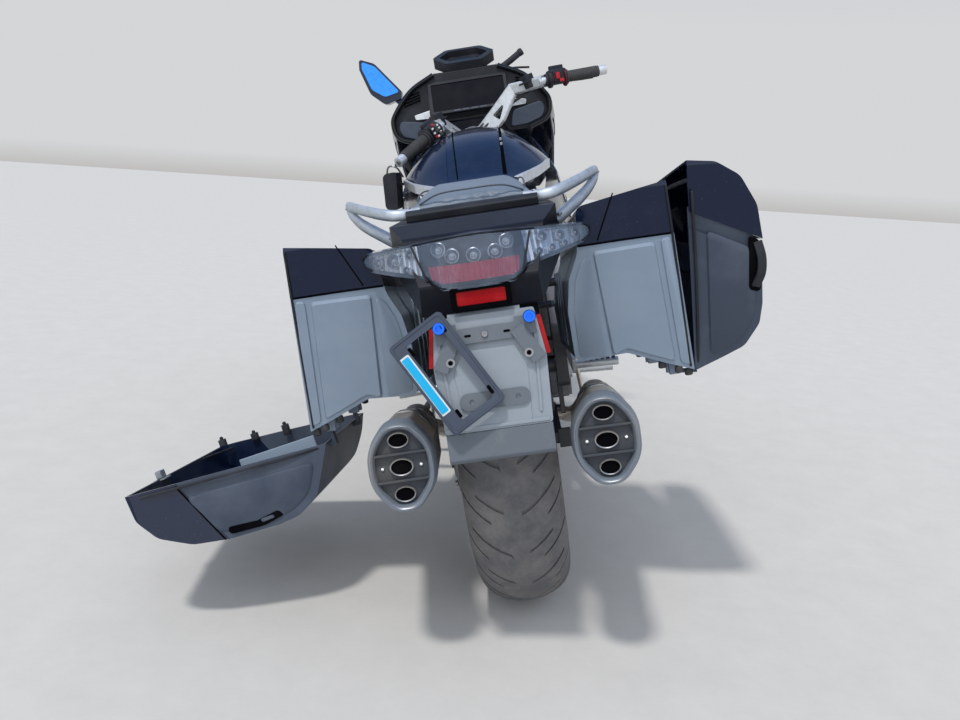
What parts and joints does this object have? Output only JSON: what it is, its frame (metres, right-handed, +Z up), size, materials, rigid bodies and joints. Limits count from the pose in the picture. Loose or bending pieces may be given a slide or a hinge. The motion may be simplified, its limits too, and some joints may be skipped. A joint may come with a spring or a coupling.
{
  "type": "touring motorcycle",
  "caption": "Large touring motorcycle, damaged, parked on its side stand with the steering on left lock, one side case hanging open and the other ajar.",
  "frame": {"origin": "centre of the bounding box, on the ground", "axes": "+Z up, +Y the way the machine drives, +X to its right"},
  "size_m": [1.1649, 2.3779, 1.3261],
  "materials": {
    "black_paint": "deep gloss paint",
    "dark_plastic": "fine grain, matt",
    "grey_plastic": "matt, dusty",
    "dark_metal": "satin black",
    "silver_metal": "satin cast",
    "steel": "brushed",
    "engine_metal": "cast",
    "frame_metal": "satin",
    "tyre_rubber": "worn",
    "grip_rubber": "matt",
    "seat_cover": "fine grain",
    "smoked_lens": "smoked clear",
    "red_lens": "gloss",
    "screen": "gloss",
    "mirror": "bright"
  },
  "bodies": {
    "main": {"swingarm": "frame_metal", "caliper_rear": "dark_metal", "frame": "frame_metal", "engine": "engine_metal", "tail_cowl": "dark_plastic", "tail_light": "smoked_lens", "carrier_strip": "dark_plastic", "plate_holder": "dark_plastic", "mud_flap": "grey_plastic", "reflectors": "red_lens", "plate_bracket": "grey_plastic", "plate_frame": "dark_plastic", "wheel_arch": "dark_plastic", "mufflers": "steel", "muffler_caps": "dark_metal", "exhaust_pipes": "steel", "case_body": "dark_plastic", "case_cover": "black_paint", "grab_rails": "silver_metal", "pillion_seat": "seat_cover", "rider_seat": "seat_cover", "tank_centre": "black_paint", "tank_sides": "black_paint", "tank_trims": "silver_metal", "nose_fairing": "black_paint", "headlamp": "smoked_lens", "side_fairings": "black_paint", "side_covers": "dark_plastic", "belly_pan": "dark_plastic", "display": "screen", "cockpit": "dark_plastic", "side_pod": "dark_plastic", "screen_bracket": "dark_plastic", "mirror_left": "black_paint", "mirror_glass": "mirror", "radiator": "dark_metal", "peg_plates": "silver_metal"},
    "rear_wheel": {"tyre_rear": "tyre_rubber", "wheel_rear": "dark_metal", "disc_rear": "steel"},
    "steering": {"fork": "frame_metal", "handlebar": "silver_metal", "bar_ends": "silver_metal", "grips": "grip_rubber", "bar_controls": "dark_plastic", "front_fender": "black_paint", "calipers_front": "dark_metal"},
    "front_wheel": {"tyre_front": "tyre_rubber", "wheel_front": "dark_metal", "discs_front": "steel"},
    "left_lid": {"lid_left": "dark_plastic", "lid_cover_left": "black_paint"},
    "right_lid": {"lid_right": "dark_plastic", "lid_cover_right": "black_paint"},
    "side_stand": {"side_stand": "dark_metal"},
    "centre_stand": {"centre_stand": "dark_metal"}
  },
  "joints": [
    {"name": "rear_wheel_spin", "type": "hinge", "parent": "main", "child": "rear_wheel", "pos_m": [0.13297, -0.73625, 0.31585], "axis": [0.9781, 0.0011, 0.2079], "continuous": true},
    {"name": "steering_turn", "type": "hinge", "parent": "main", "child": "steering", "pos_m": [0.01862, 0.53187, 0.84715], "axis": [-0.1839, -0.4618, 0.8677], "range_deg": [-66, 0]},
    {"name": "front_wheel_spin", "type": "hinge", "parent": "steering", "child": "front_wheel", "pos_m": [0.11326, 0.87499, 0.27916], "axis": [0.7675, 0.484, 0.4203], "continuous": true},
    {"name": "left_lid_hinge", "type": "hinge", "parent": "main", "child": "left_lid", "pos_m": [-0.23999, -0.7002, 0.34841], "axis": [0.0289, 0.9895, -0.1414], "range_deg": [0, 100.7]},
    {"name": "right_lid_hinge", "type": "hinge", "parent": "main", "child": "right_lid", "pos_m": [0.45621, -0.69932, 0.51683], "axis": [0.0289, 0.9895, -0.1414], "range_deg": [-5.5, 95.2]},
    {"name": "side_stand_pivot", "type": "hinge", "parent": "main", "child": "side_stand", "pos_m": [-0.05843, 0.04321, 0.21176], "axis": [-0.8558, 0, 0.5173], "range_deg": [0, 88], "stiffness_Nm_per_rad": 3, "springref_deg": -28.65},
    {"name": "centre_stand_pivot", "type": "hinge", "parent": "main", "child": "centre_stand", "pos_m": [0.15043, -0.18869, 0.23079], "axis": [0.9781, 0.0011, 0.2079], "range_deg": [0, 96], "stiffness_Nm_per_rad": 14, "springref_deg": -34.38}
  ]
}
